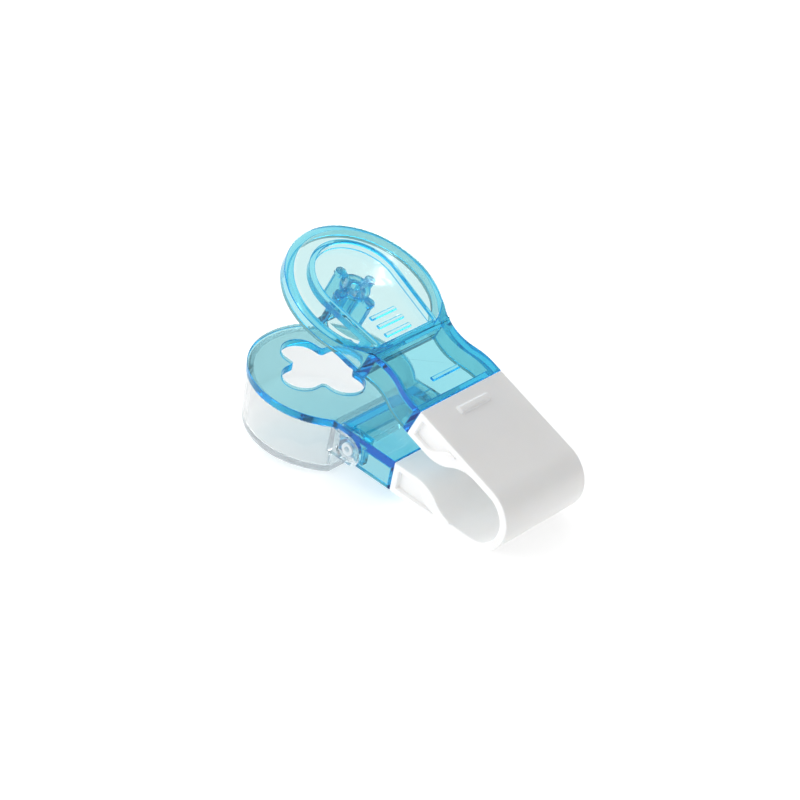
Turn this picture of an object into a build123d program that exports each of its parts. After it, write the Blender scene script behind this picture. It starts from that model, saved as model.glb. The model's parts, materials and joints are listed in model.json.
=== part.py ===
from build123d import *
from math import acos, asin, atan2, copysign, cos, degrees, hypot, radians, sin
import os

# A hand-held blister-pack pill popper: two translucent jaws on the ends of a springy U-shaped clip,
# a cross-shaped pusher under the upper jaw, and a clear pill box hinged under the lower jaw.
# Millimetres. Every part is drawn in the frame of its own arm: x runs from the jaw's tip (negative)
# over the joint between jaw and clip (0) towards the bend, y across, and z = 0 is the arm's outer face.
# The lower arm's inside is +z and the upper arm's inside is -z.

# ---- spring clip ----
clip_width = 30.0
arm_opening = 18.27              # angle between the two arms at rest, degrees
bend_centre_x = 25.9
bend_radius = 9.24               # outer radius of the bend
bend_wall = 2.2
arm_end_height = 8.4             # thick end of each arm, where the jaw plugs in
arm_flat_length = 7.0
arm_taper_length = 14.0          # run of the S-shaped change from thick end to thin leaf
stiff_arc_lower = 35.0           # first degrees of the bend that stay with the lower arm
stiff_arc_upper = 25.0           # last degrees of the bend that stay with the upper arm
socket_width = 22.0
socket_height = 4.4
socket_depth = 8.6
side_recess_depth = 1.2
side_recess_border = 1.7
side_recess_run_out = 6.8         # from the end of the pocket to the end of the arm's taper
catch_bar_start = 3.0            # raised bar on the upper arm's outer face
catch_bar_foot = 2.8
catch_bar_crest = 1.5
catch_bar_length = 10.7
catch_bar_height = 0.9

# ---- both jaws ----
jaw_wall = 2.0
plate = 1.1                      # thickness of the upper jaw's disc and of the floor of its dish
end_wall = 1.6                   # wall at the joint plane
tongue_clearance = 0.1
tongue_length = 8.3

# ---- lower jaw ----
lower_height = 8.48
lower_neck_plate = 3.4
lower_neck_half_width = 14.8
ring_centre_x = -35.3
ring_radius = 21.04
ring_plate = 2.1
cross_centre_x = -37.9
cross_slot_length = 25.4
cross_slot_width = 10.0
cross_corner_radius = 1.2
step_wall_x = -19.0              # tip-side face of the wall between neck and ring
step_wall = 2.0
cheek_half_width = 12.4          # outer faces of the two cheeks that carry the pins
cheek_wall = 2.0
cheek_end_x = -10.5

# ---- pill box and its pins ----
pivot_x = -15.3
pivot_z = 2.5
pin_radius = 1.70
pin_hole_radius = 0.8
pin_running_clearance = 0.06
ear_radius = 4.0
ear_swing_clearance = 0.5
ear_inner_half_width = 12.7
ear_outer_half_width = 14.7
ear_counterbore_radius = 3.2
ear_counterbore_depth = 0.9
ear_bottom_z = -1.0
box_top_z = 6.05
box_bottom_z = -8.4
box_top_radius = 20.7
box_bottom_radius = 20.2
box_flat_x = -20.1               # outer face of the box's flat wall
box_wall = 1.5
box_floor = 1.6
box_edge_radius = 1.2

# ---- upper jaw ----
upper_height = 8.2
upper_neck_plate = 2.8
upper_joint_half_width = 15.0
waist_half_width = 12.9
waist_x = -13.5
waist_start_x = -3.0
disc_centre_x = -35.14
disc_radius = 21.06
disc_top_radius = 18.3           # where the sloping band round the disc starts
disc_band_drop = 1.3
disc_band_end_x = -24.5          # the band runs out from here towards the neck
disc_band_runout = 6.0
skirt_depth = 4.5
skirt_step_tip_x = -28.0         # the skirt deepens from here
skirt_step_neck_x = -17.0        # to the full neck height here
dish_centre_x = -38.0
dish_radius = 11.7
dish_mouth_x = -20.0
dish_mouth_half_width = 9.6
dish_depth = 2.2
dish_rim = 1.2
ridge_width = 1.0
neck_ridge_x = -6.0
neck_ridge_length = 10.0
neck_ridge_height = 0.4
grip_ridge_positions = (-22.4, -25.2, -28.0)
grip_ridge_length = 9.0
grip_ridge_height = 0.35

# ---- pusher ----
pusher_centre_x = -37.95
pusher_hub_radius = 4.0
pusher_bore_radius = 1.2
pusher_lobe_centre = 5.4
pusher_lobe_radius = 1.4
pusher_crown_height = 1.3
pusher_blade_reach = 6.4
pusher_blade_width = 2.0
pusher_tip_z = -13.0

reach = 200.0                    # side of the large blocks that trim other solids
margin = 1.0                     # how far a cutter passes the face it opens


def s_curve(start, end):
    """Two equal tangent arcs that leave start and reach end parallel to x."""
    run = end[0] - start[0]
    rise = end[1] - start[1]
    radius = (run**2 + rise**2) / (4 * abs(rise))
    half_turn = asin(abs(run) / 2 / radius) / 2
    dx = copysign(radius * sin(half_turn), run)
    dy = copysign(radius * (1 - cos(half_turn)), rise)
    middle = ((start[0] + end[0]) / 2, (start[1] + end[1]) / 2)
    first = ThreePointArc(start, (start[0] + dx, start[1] + dy), middle)
    second = ThreePointArc(middle, (end[0] - dx, end[1] - dy), end)
    return [first, second]


def on_circle(centre, radius, angle):
    """The point of a circle at an angle in degrees."""
    return (centre[0] + radius * cos(radians(angle)), centre[1] + radius * sin(radians(angle)))


def arc(centre, radius, start, end):
    """An arc of a circle between two angles in degrees."""
    ends = [on_circle(centre, radius, a) for a in (start, end)]
    return ThreePointArc(ends[0], on_circle(centre, radius, (start + end) / 2), ends[1])


def block(x, y, z):
    """A box between two limits on each axis."""
    size = [limits[1] - limits[0] for limits in (x, y, z)]
    middle = [(limits[0] + limits[1]) / 2 for limits in (x, y, z)]
    return Pos(*middle) * Box(*size)


def across(face, half_width):
    """Extrude a side-view face by the same distance to each side of the middle plane."""
    return extrude(Plane.XZ * face, half_width, both=True)


def slab(face, low, high):
    """Extrude a plan-view face between two heights."""
    return extrude(Pos(0, 0, low) * face, high - low)


# ------------------------------------------------------------------ spring clip
bend_centre = (bend_centre_x, bend_radius)
bend_inner_radius = bend_radius - bend_wall
bend_turn = 180.0 - arm_opening
arm_taper_end_x = arm_flat_length + arm_taper_length


def arm_blank(stiff_arc):
    """One clip arm with the first part of the bend, drawn with its inside towards +z."""
    face = make_face(
        Curve()
        + [
            Line((0, 0), (bend_centre_x, 0)),
            arc(bend_centre, bend_radius, -90, stiff_arc - 90),
            Line(
                on_circle(bend_centre, bend_radius, stiff_arc - 90),
                on_circle(bend_centre, bend_inner_radius, stiff_arc - 90),
            ),
            arc(bend_centre, bend_inner_radius, stiff_arc - 90, -90),
            Line((bend_centre_x, bend_wall), (arm_taper_end_x, bend_wall)),
        ]
        + s_curve((arm_taper_end_x, bend_wall), (arm_flat_length, arm_end_height))
        + [
            Line((arm_flat_length, arm_end_height), (0, arm_end_height)),
            Line((0, arm_end_height), (0, 0)),
        ]
    )
    return across(face, clip_width / 2)


def side_recess():
    """The shallow pocket in one side face of an arm, following the arm's outline."""
    low = side_recess_border
    high = arm_end_height - side_recess_border
    end_x = arm_taper_end_x - side_recess_run_out
    face = make_face(
        Curve()
        + [
            Line((low, low), (end_x, low)),
            *s_curve((end_x, low), (arm_flat_length - side_recess_border, high)),
            Line((arm_flat_length - side_recess_border, high), (low, high)),
            Line((low, high), (low, low)),
        ]
    )
    return across(face, side_recess_depth)


def arm(stiff_arc):
    """A clip arm with its socket and side pockets."""
    solid = arm_blank(stiff_arc)
    middle = arm_end_height / 2
    solid -= block(
        (-margin, socket_depth),
        (-socket_width / 2, socket_width / 2),
        (middle - socket_height / 2, middle + socket_height / 2),
    )
    for side in (-1, 1):
        solid -= Pos(0, side * clip_width / 2, 0) * side_recess()
    return solid


def clip_lower_arm():
    return arm(stiff_arc_lower)


def clip_upper_arm():
    """The upper arm, mirrored so that its inside is towards -z, with the raised bar outside."""
    solid = mirror(arm(stiff_arc_upper), Plane.XY)
    slope = (catch_bar_foot - catch_bar_crest) / 2
    end = catch_bar_start + catch_bar_foot
    bar = make_face(
        Polyline(
            (catch_bar_start, 0),
            (catch_bar_start + slope, catch_bar_height),
            (end - slope, catch_bar_height),
            (end, 0),
            close=True,
        )
    )
    return solid + across(bar, catch_bar_length / 2)


def clip_bend():
    """The flexing part of the bend, between the two stiff ends."""
    first = stiff_arc_lower - 90
    last = bend_turn - stiff_arc_upper - 90
    outer = arc(bend_centre, bend_radius, first, last)
    inner = arc(bend_centre, bend_inner_radius, last, first)
    face = make_face(Curve() + [outer, Line(outer @ 1, inner @ 0), inner, Line(inner @ 1, outer @ 0)])
    return across(face, clip_width / 2)


def tongue():
    """The plug on a jaw that fills the socket of a clip arm, for an arm with its inside towards +z."""
    half_width = socket_width / 2 - tongue_clearance
    half_height = socket_height / 2 - tongue_clearance
    middle = arm_end_height / 2
    return block((0, tongue_length), (-half_width, half_width), (middle - half_height, middle + half_height))


# ------------------------------------------------------------------ lower jaw
def cross_outline():
    """The cross-shaped opening."""
    cross = SlotOverall(cross_slot_length, cross_slot_width)
    cross += SlotOverall(cross_slot_length, cross_slot_width, rotation=90)
    inner_corners = cross.vertices().sort_by(lambda corner: hypot(corner.X, corner.Y))[0:4]
    return Pos(cross_centre_x, 0) * fillet(inner_corners, cross_corner_radius)


def pin_axis_cylinder(radius, y_low, y_high):
    """A cylinder on the pill box's pivot axis between two distances across."""
    middle = (y_low + y_high) / 2
    return Pos(pivot_x, middle, pivot_z) * Rot(90, 0, 0) * Cylinder(radius, y_high - y_low)


def lower_jaw():
    outer = lower_neck_half_width
    inner = outer - jaw_wall
    cheek = cheek_half_width
    neck_under = lower_height - lower_neck_plate
    neck_plan = Pos(ring_centre_x / 2, 0) * Rectangle(-ring_centre_x, 2 * outer)
    ring = Pos(ring_centre_x, 0) * Circle(ring_radius)
    solid = slab(ring + neck_plan, lower_height - ring_plate, lower_height)
    solid += block((step_wall_x, 0), (-outer, outer), (neck_under, lower_height))
    # side walls, and cheeks that hold the pins
    for y in ((inner, outer), (-outer, -inner)):
        solid += block((pivot_x, 0), y, (0, lower_height))
    for y in ((cheek - cheek_wall, cheek), (-cheek, cheek_wall - cheek)):
        solid += block((step_wall_x, cheek_end_x), y, (0, lower_height))
    # wall behind the ring, wall at the joint, and the plug in the clip
    solid += block((step_wall_x, step_wall_x + step_wall), (-cheek, cheek), (0, lower_height))
    solid += block((-end_wall, 0), (-outer, outer), (0, lower_height))
    solid += tongue()
    # room for the pill box's ears to swing
    swing = ear_radius + ear_swing_clearance
    for y in ((cheek, outer + margin), (-outer - margin, -cheek)):
        solid -= pin_axis_cylinder(swing, *y)
        solid -= block((step_wall_x, pivot_x), y, (-reach, pivot_z + swing))
    solid -= slab(cross_outline(), 0, lower_height + margin)
    solid -= pin_axis_cylinder(pin_radius, -cheek - margin, cheek + margin)
    return solid


# ------------------------------------------------------------------ pill box and pins
def box_body(shrink, bottom_z, top_z, edge_radius):
    """The round cup with one flat side, shrunk inwards all round, with a rounded bottom edge."""
    draft = (box_top_radius - box_bottom_radius) / (box_top_z - box_bottom_z)
    low_radius = box_bottom_radius - shrink + draft * (bottom_z - box_bottom_z)
    high_radius = low_radius + draft * (top_z - bottom_z)
    side = make_face(
        Polyline((0, bottom_z), (low_radius, bottom_z), (high_radius, top_z), (0, top_z), close=True)
    )
    cup = Pos(ring_centre_x, 0, 0) * revolve(Plane.XZ * side, Axis.Z)
    cup &= block((-reach, box_flat_x - shrink), (-reach, reach), (-reach, reach))
    return fillet(cup.faces().sort_by(Axis.Z)[0].edges(), edge_radius)


def pill_box():
    solid = box_body(0, box_bottom_z, box_top_z, box_edge_radius)
    ear_start_x = box_flat_x - 2 * box_wall
    ear_plan = Pos(pivot_x, pivot_z) * Circle(ear_radius)
    ear_plan += Pos((ear_start_x + pivot_x) / 2, (box_top_z + ear_bottom_z) / 2) * Rectangle(
        pivot_x - ear_start_x, box_top_z - ear_bottom_z
    )
    ear_middle = (ear_inner_half_width + ear_outer_half_width) / 2
    ear_half = (ear_outer_half_width - ear_inner_half_width) / 2
    for side in (-1, 1):
        solid += Pos(0, side * ear_middle, 0) * across(ear_plan, ear_half)
    solid -= box_body(box_wall, box_bottom_z + box_floor, box_top_z + margin, box_edge_radius / 2)
    bore = pin_radius + pin_running_clearance
    solid -= pin_axis_cylinder(bore, -ear_outer_half_width - margin, ear_outer_half_width + margin)
    recess = ear_outer_half_width - ear_counterbore_depth
    solid -= pin_axis_cylinder(ear_counterbore_radius, recess, ear_outer_half_width + margin)
    solid -= pin_axis_cylinder(ear_counterbore_radius, -ear_outer_half_width - margin, -recess)
    return solid


def pivot_pin(side):
    """One hollow pin, pressed into a cheek of the lower jaw. side is -1 or 1."""
    inner = cheek_half_width - cheek_wall
    outer = ear_outer_half_width - ear_counterbore_depth / 2
    low, high = sorted((side * inner, side * outer))
    hole = pin_axis_cylinder(pin_hole_radius, low - margin, high + margin)
    return pin_axis_cylinder(pin_radius, low, high) - hole


# ------------------------------------------------------------------ upper jaw
def upper_outline(shrink):
    """Plan of the upper jaw: straight at the joint, a waist, then the round disc."""
    disc = disc_radius - shrink
    waist = waist_half_width - shrink
    joint = upper_joint_half_width - shrink
    # the flare is an arc that leaves the waist parallel to x and meets the disc tangentially
    run = waist_x - disc_centre_x
    flare = (run**2 + waist**2 - disc**2) / (2 * (disc - waist))
    flare_centre = (waist_x, waist + flare)
    meet_angle = degrees(atan2(waist + flare, run))
    half = (
        [Line((-shrink, joint), (waist_start_x, joint))]
        + s_curve((waist_start_x, joint), (waist_x, waist))
        + [
            arc(flare_centre, flare, -90, meet_angle - 180),
            arc((disc_centre_x, 0), disc, meet_angle, 180),
        ]
    )
    other = [mirror(edge, Plane.XZ) for edge in half]
    return make_face(Curve() + half + other + [Line((-shrink, joint), (-shrink, -joint))])


def dish_outline(grow):
    """The keyhole-shaped thumb dish: a round end whose tangent sides run to the mouth at the neck."""
    radius = dish_radius + grow
    half_width = dish_mouth_half_width + grow
    centre = (dish_centre_x, 0)
    run = dish_mouth_x - dish_centre_x
    tangent_angle = degrees(atan2(half_width, run) + acos(radius / hypot(run, half_width)))
    touch = on_circle(centre, radius, tangent_angle)
    mirrored = (touch[0], -touch[1])
    return make_face(
        Curve()
        + [
            Line((dish_mouth_x, half_width), touch),
            ThreePointArc(touch, (dish_centre_x - radius, 0), mirrored),
            Line(mirrored, (dish_mouth_x, -half_width)),
            Line((dish_mouth_x, -half_width), (dish_mouth_x, half_width)),
        ]
    )


def upper_jaw():
    solid = slab(upper_outline(0), -upper_height, 0)
    solid -= slab(upper_outline(jaw_wall), -upper_height - margin, -plate)
    # thick neck plate, and the wall behind the dish
    inside = slab(upper_outline(jaw_wall), -reach, 0)
    solid += inside & block((dish_mouth_x, 0), (-reach, reach), (-upper_neck_plate, 0))
    solid += inside & block((dish_mouth_x, dish_mouth_x + jaw_wall), (-reach, reach), (-upper_height, 0))
    # the skirt is shallow round the disc and deepens to the full height at the neck
    step = [(skirt_step_tip_x, -skirt_depth), (skirt_step_neck_x, -upper_height)]
    below = make_face(
        Curve()
        + [Line((-reach, -skirt_depth), step[0])]
        + s_curve(*step)
        + [
            Line(step[1], (skirt_step_neck_x, -reach)),
            Line((skirt_step_neck_x, -reach), (-reach, -reach)),
            Line((-reach, -reach), (-reach, -skirt_depth)),
        ]
    )
    solid -= across(below, reach)
    # sloping band round the top of the disc, running out before the neck
    outside = disc_radius + margin
    band = make_face(
        Polyline(
            (disc_top_radius, 0),
            (disc_radius, -disc_band_drop),
            (outside, -disc_band_drop),
            (outside, margin),
            (disc_top_radius, margin),
            close=True,
        )
    )
    band_end = disc_band_end_x + disc_band_runout
    kept = make_face(
        Polyline(
            (-reach, -disc_band_drop - margin),
            (disc_band_end_x, -disc_band_drop - margin),
            (disc_band_end_x, -disc_band_drop),
            (band_end, 0),
            (band_end, margin),
            (-reach, margin),
            close=True,
        )
    )
    solid -= (Pos(disc_centre_x, 0, 0) * revolve(Plane.XZ * band, Axis.Z)) & across(kept, reach)
    # thumb dish, sunk into the plate, with its own floor
    solid += slab(dish_outline(dish_rim), -plate - dish_depth, -plate / 2)
    solid -= slab(dish_outline(0), -dish_depth, margin)
    ridge_half = ridge_width / 2
    for x in grip_ridge_positions:
        solid += block(
            (x - ridge_half, x + ridge_half),
            (-grip_ridge_length / 2, grip_ridge_length / 2),
            (-dish_depth - plate / 2, grip_ridge_height - dish_depth),
        )
    solid += block(
        (neck_ridge_x - ridge_half, neck_ridge_x + ridge_half),
        (-neck_ridge_length / 2, neck_ridge_length / 2),
        (-plate, neck_ridge_height),
    )
    return solid + mirror(tongue(), Plane.XY)


# ------------------------------------------------------------------ pusher
def pusher():
    crown_top = -plate - dish_depth
    crown_bottom = crown_top - pusher_crown_height
    crown = Circle(pusher_hub_radius)
    blades = Circle(pusher_hub_radius - pusher_bore_radius)
    for turn in range(4):
        place = Rot(0, 0, 90 * turn)
        crown += place * Pos(pusher_lobe_centre, 0) * Circle(pusher_lobe_radius)
        crown += place * Pos(pusher_lobe_centre / 2, 0) * Rectangle(pusher_lobe_centre, pusher_blade_width)
        blades += place * Pos(pusher_blade_reach / 2, 0) * Rectangle(pusher_blade_reach, pusher_blade_width)
    solid = slab(crown, crown_bottom, crown_top)
    solid += slab(blades, pusher_tip_z, crown_bottom)
    solid -= slab(Circle(pusher_bore_radius), pusher_tip_z - margin, crown_top + margin)
    return Pos(pusher_centre_x, 0, 0) * solid


# ------------------------------------------------------------------ placing
# The arms meet the bend tangentially, which fixes where the upper arm's frame stands.
upper_tangent = on_circle(bend_centre, bend_radius, bend_turn - 90)
upper_joint_x = upper_tangent[0] - bend_centre_x * cos(radians(arm_opening))
upper_joint_z = upper_tangent[1] + bend_centre_x * sin(radians(arm_opening))
upper_frame = Pos(upper_joint_x, 0, upper_joint_z) * Rot(0, arm_opening, 0)

# The object rests on the bend and on the lower edge of the pill box's flat side: the tilt makes
# the common tangent of the bend and that rounded edge level.
edge_centre = (box_flat_x - box_edge_radius, box_bottom_z + box_edge_radius)
rest_run = bend_centre_x - edge_centre[0]
rest_rise = bend_radius - edge_centre[1]
tangent_turn = asin((bend_radius - box_edge_radius) / hypot(rest_run, rest_rise))
rest_tilt = degrees(atan2(rest_rise, rest_run) - tangent_turn)

nodes = {
    "clip_lower_arm": clip_lower_arm(),
    "clip_bend": clip_bend(),
    "clip_upper_arm": upper_frame * clip_upper_arm(),
    "lower_jaw": lower_jaw(),
    "upper_jaw": upper_frame * upper_jaw(),
    "pusher": upper_frame * pusher(),
    "pill_box": pill_box(),
    "pivot_pin_left": pivot_pin(-1),
    "pivot_pin_right": pivot_pin(1),
}

# Stand the object at rest, with the origin under the middle of its box.
tilt = Rot(0, rest_tilt, 0)
standing = Compound(children=[tilt * solid for solid in nodes.values()]).bounding_box()
middle_x = (standing.min.X + standing.max.X) / 2
middle_y = (standing.min.Y + standing.max.Y) / 2
rest_frame = Pos(-middle_x, -middle_y, -standing.min.Z) * tilt

os.makedirs("parts", exist_ok=True)
for name, solid in nodes.items():
    export_step(rest_frame * solid, f"parts/{name}.step")


def report(label, frame_point):
    """Print a point of the lower arm's frame in the frame of the exported parts."""
    place = (rest_frame * Pos(*frame_point)).position
    print(f"{label}: {place.X:.4f} {place.Y:.4f} {place.Z:.4f}")


print(f"rest tilt {rest_tilt:.4f} degrees")
report("bend centre", (bend_centre_x, 0, bend_radius))
report("pill box pivot", (pivot_x, 0, pivot_z))
report("lower joint", (0, 0, 0))
report("pill box floor", (ring_centre_x, 0, box_bottom_z))
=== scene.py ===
"""Looks of a squeeze-clip blister pill popper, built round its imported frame.

Every piece is drawn in the frame of its own arm, in millimetres: x runs from the jaw's tip, which is
negative, over the joint between jaw and clip, at 0, towards the bend; y runs across; and z = 0 is the
arm's outer face. An ArmFrame turns those millimetres into the row frame's metres.
"""

from __future__ import annotations

import json
import logging
import math
from dataclasses import dataclass
from enum import Enum

import bmesh
import bpy
from mathutils import Matrix, Vector

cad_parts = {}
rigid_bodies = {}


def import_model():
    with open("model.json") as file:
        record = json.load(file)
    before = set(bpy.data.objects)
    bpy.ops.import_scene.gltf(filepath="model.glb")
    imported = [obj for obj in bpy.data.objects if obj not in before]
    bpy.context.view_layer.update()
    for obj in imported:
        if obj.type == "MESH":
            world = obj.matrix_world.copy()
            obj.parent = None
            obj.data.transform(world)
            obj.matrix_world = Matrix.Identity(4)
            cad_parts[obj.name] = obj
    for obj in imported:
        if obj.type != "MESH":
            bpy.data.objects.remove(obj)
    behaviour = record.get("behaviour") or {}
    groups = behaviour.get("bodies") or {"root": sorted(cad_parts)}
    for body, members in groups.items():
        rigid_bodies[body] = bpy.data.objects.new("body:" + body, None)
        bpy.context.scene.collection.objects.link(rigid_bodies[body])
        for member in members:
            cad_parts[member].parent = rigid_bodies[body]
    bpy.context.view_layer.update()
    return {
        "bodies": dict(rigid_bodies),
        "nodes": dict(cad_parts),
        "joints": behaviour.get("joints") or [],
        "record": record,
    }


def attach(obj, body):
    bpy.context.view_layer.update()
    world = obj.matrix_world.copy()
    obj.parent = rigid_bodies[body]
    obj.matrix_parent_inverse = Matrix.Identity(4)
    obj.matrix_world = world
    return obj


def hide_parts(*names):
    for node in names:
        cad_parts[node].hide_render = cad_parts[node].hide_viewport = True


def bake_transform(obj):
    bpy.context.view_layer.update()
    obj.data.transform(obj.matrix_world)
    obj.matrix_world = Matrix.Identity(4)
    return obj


log = logging.getLogger("pill_popper")

Point = tuple[float, float]
Outline = list[Point]

MM = 0.001
REACH = 200.0          # half side of the large blocks that trim other solids, mm
ARC_STEP = 4.0         # largest turn between two points of an arc, degrees
OVERLAP = 0.6          # how far cutters pass a face, and roots sink into it, mm
EDGE_WEAR_AND_SHADE = "edge_wear_and_shade"     # the face-corner attribute that marks rounded edges, for their wear and their painted shade
WELD = 0.002           # points closer than this are joined, mm
FLAT = 0.4             # faces that meet at less than this angle become one, degrees
SHARP = 32.0           # edges sharper than this are rounded, degrees
TINY = 1e-5            # distance that counts as none, mm
FACE_PULL = 100        # how strongly flat faces straighten the shading beside them
OPAQUE = (1.0,)        # the alpha that completes a colour
MIX_FIRST, MIX_SECOND, MIX_RESULT = 6, 7, 2      # colour sockets of a Mix node


# ---------------------------------------------------------------------------- outlines


def on_circle(centre: Point, radius: float, angle: float) -> Point:
    """Return the point of a circle at an angle in degrees."""
    turn = math.radians(angle)
    return (centre[0] + radius * math.cos(turn), centre[1] + radius * math.sin(turn))


def arc(centre: Point, radius: float, start: float, end: float) -> Outline:
    """Sample an arc of a circle.

    Args:
        centre: Centre of the circle.
        radius: Radius of the circle.
        start: First angle in degrees.
        end: Last angle in degrees.

    Returns:
        Points from start to end, both ends included.
    """
    steps = max(1, math.ceil(abs(end - start) / ARC_STEP))
    return [on_circle(centre, radius, start + (end - start) * i / steps) for i in range(steps + 1)]


def circle(centre: Point, radius: float) -> Outline:
    """Return a closed circle, without repeating its first point."""
    return arc(centre, radius, 0, 360)[:-1]


def s_curve(start: Point, end: Point) -> Outline:
    """Sample two equal tangent arcs that leave start and reach end parallel to the first axis.

    Args:
        start: First point.
        end: Last point.

    Returns:
        Points from start to end, both ends included.
    """
    run, rise = end[0] - start[0], end[1] - start[1]
    radius = (run**2 + rise**2) / (4 * abs(rise))
    turn = math.asin(min(1.0, abs(run) / 2 / radius))
    steps = max(2, math.ceil(math.degrees(turn) / ARC_STEP))
    first = []
    for i in range(steps + 1):
        angle = turn * i / steps
        dx = math.copysign(radius * math.sin(angle), run)
        dy = math.copysign(radius * (1 - math.cos(angle)), rise)
        first.append((start[0] + dx, start[1] + dy))
    second = [(start[0] + end[0] - x, start[1] + end[1] - y) for x, y in reversed(first)]
    return first + second[1:]


def rectangle(x: Point, y: Point) -> Outline:
    """Return the corners of a rectangle between two limits on each axis."""
    return [(x[0], y[0]), (x[1], y[0]), (x[1], y[1]), (x[0], y[1])]


# ---------------------------------------------------------------------------- solids


class Plane(Enum):
    """The plane that a flat outline is drawn in."""

    PLAN = "plan"      # outline in x and y, raised along z
    SIDE = "side"      # outline in x and z, raised along y


class Solver(Enum):
    """How two solids are combined."""

    ADD = "UNION"
    CUT = "DIFFERENCE"
    KEEP = "INTERSECT"


class Solid:
    """A closed mesh in an arm's own millimetres, built up from simple solids."""

    def __init__(self, mesh: bpy.types.Mesh) -> None:
        """Wrap a mesh in a scratch object."""
        self.scratch = bpy.data.objects.new("scratch", mesh)
        bpy.context.scene.collection.objects.link(self.scratch)

    @classmethod
    def prism(cls, plane: Plane, outline: Outline, low: float, high: float) -> Solid:
        """Raise a flat outline into a solid.

        Args:
            plane: Plane of the outline.
            outline: Its corners in order.
            low: Where the solid starts along the third axis.
            high: Where it ends.

        Returns:
            The solid.
        """
        def place(point: Point, level: float) -> Vector:
            if plane is Plane.PLAN:
                return Vector((point[0], point[1], level))
            return Vector((point[0], level, point[1]))

        shell = bmesh.new()
        rings = [[shell.verts.new(place(p, level)) for p in outline] for level in (low, high)]
        count = len(outline)
        for i in range(count):
            j = (i + 1) % count
            shell.faces.new((rings[0][i], rings[0][j], rings[1][j], rings[1][i]))
        shell.faces.new(rings[0])
        shell.faces.new(rings[1])
        return cls._from_bmesh(shell)

    @classmethod
    def lathe(cls, profile: Outline, centre: Point) -> Solid:
        """Turn a profile of (radius, height) round a vertical axis.

        Args:
            profile: Closed profile; points at radius 0 lie on the axis.
            centre: Where the axis stands in plan.

        Returns:
            The solid.
        """
        steps = round(360 / ARC_STEP)
        shell = bmesh.new()
        columns = []
        for i in range(steps):
            turn = 2 * math.pi * i / steps
            columns.append([
                shell.verts.new((r * math.cos(turn), r * math.sin(turn), z)) for r, z in profile
            ])
        count = len(profile)
        for i in range(steps):
            here, there = columns[i], columns[(i + 1) % steps]
            for j in range(count):
                k = (j + 1) % count
                shell.faces.new((here[j], there[j], there[k], here[k]))
        bmesh.ops.remove_doubles(shell, verts=shell.verts, dist=TINY)
        bmesh.ops.translate(shell, verts=shell.verts, vec=(centre[0], centre[1], 0))
        return cls._from_bmesh(shell)

    @classmethod
    def block(cls, x: Point, y: Point, z: Point) -> Solid:
        """Return a box between two limits on each axis."""
        return cls.prism(Plane.PLAN, rectangle(x, y), z[0], z[1])

    @classmethod
    def crosswise(cls, centre: Point, radius: float, y: Point) -> Solid:
        """Return a cylinder along y between two limits, its centre given in x and z."""
        return cls.prism(Plane.SIDE, circle(centre, radius), y[0], y[1])

    @classmethod
    def _from_bmesh(cls, shell: bmesh.types.BMesh) -> Solid:
        """Turn a finished bmesh into a solid with its normals outwards."""
        bmesh.ops.dissolve_degenerate(shell, dist=TINY, edges=shell.edges)
        bmesh.ops.recalc_face_normals(shell, faces=shell.faces)
        mesh = bpy.data.meshes.new("scratch")
        shell.to_mesh(mesh)
        shell.free()
        return cls(mesh)

    def mirrored(self) -> Solid:
        """Return a copy turned over, from z to -z."""
        shell = bmesh.new()
        shell.from_mesh(self.scratch.data)
        bmesh.ops.scale(shell, verts=shell.verts, vec=(1, 1, -1))
        return self._from_bmesh(shell)

    def turned(self, angle: float, centre: Point) -> Solid:
        """Return a copy turned about a vertical axis by an angle in degrees."""
        shell = bmesh.new()
        shell.from_mesh(self.scratch.data)
        turn = Matrix.Rotation(math.radians(angle), 3, "Z")
        bmesh.ops.rotate(shell, verts=shell.verts, cent=(*centre, 0), matrix=turn)
        return self._from_bmesh(shell)

    def combine(self, how: Solver, *others: Solid) -> Solid:
        """Combine other solids into this one, and use them up.

        Args:
            how: Whether the others are added, cut away or kept.
            others: The other solids, taken in order.

        Returns:
            This solid, changed.
        """
        for other in others:
            tool = self.scratch.modifiers.new("combine", "BOOLEAN")
            tool.operation = how.value
            tool.solver = "MANIFOLD"
            tool.object = other.scratch
        graph = bpy.context.evaluated_depsgraph_get()
        graph.update()
        made = bpy.data.meshes.new_from_object(self.scratch.evaluated_get(graph))
        self.scratch.modifiers.clear()
        old = self.scratch.data
        self.scratch.data = made
        bpy.data.meshes.remove(old)
        for other in others:
            other.discard()
        return self

    def add(self, *others: Solid) -> Solid:
        """Add other solids to this one."""
        return self.combine(Solver.ADD, *others)

    def cut(self, *others: Solid) -> Solid:
        """Cut other solids away from this one."""
        return self.combine(Solver.CUT, *others)

    def keep(self, *others: Solid) -> Solid:
        """Keep only what lies inside the other solids too."""
        return self.combine(Solver.KEEP, *others)

    def discard(self) -> None:
        """Remove the scratch object and its mesh."""
        mesh = self.scratch.data
        bpy.data.objects.remove(self.scratch)
        bpy.data.meshes.remove(mesh)


# ---------------------------------------------------------------------------- frames


@dataclass(frozen=True)
class ArmFrame:
    """Maps an arm's own millimetres to the row frame's metres."""

    matrix: Matrix

    def point(self, x: float, y: float, z: float) -> Vector:
        """Return a point of the arm in the row frame."""
        return self.matrix @ Vector((x, y, z))


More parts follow.
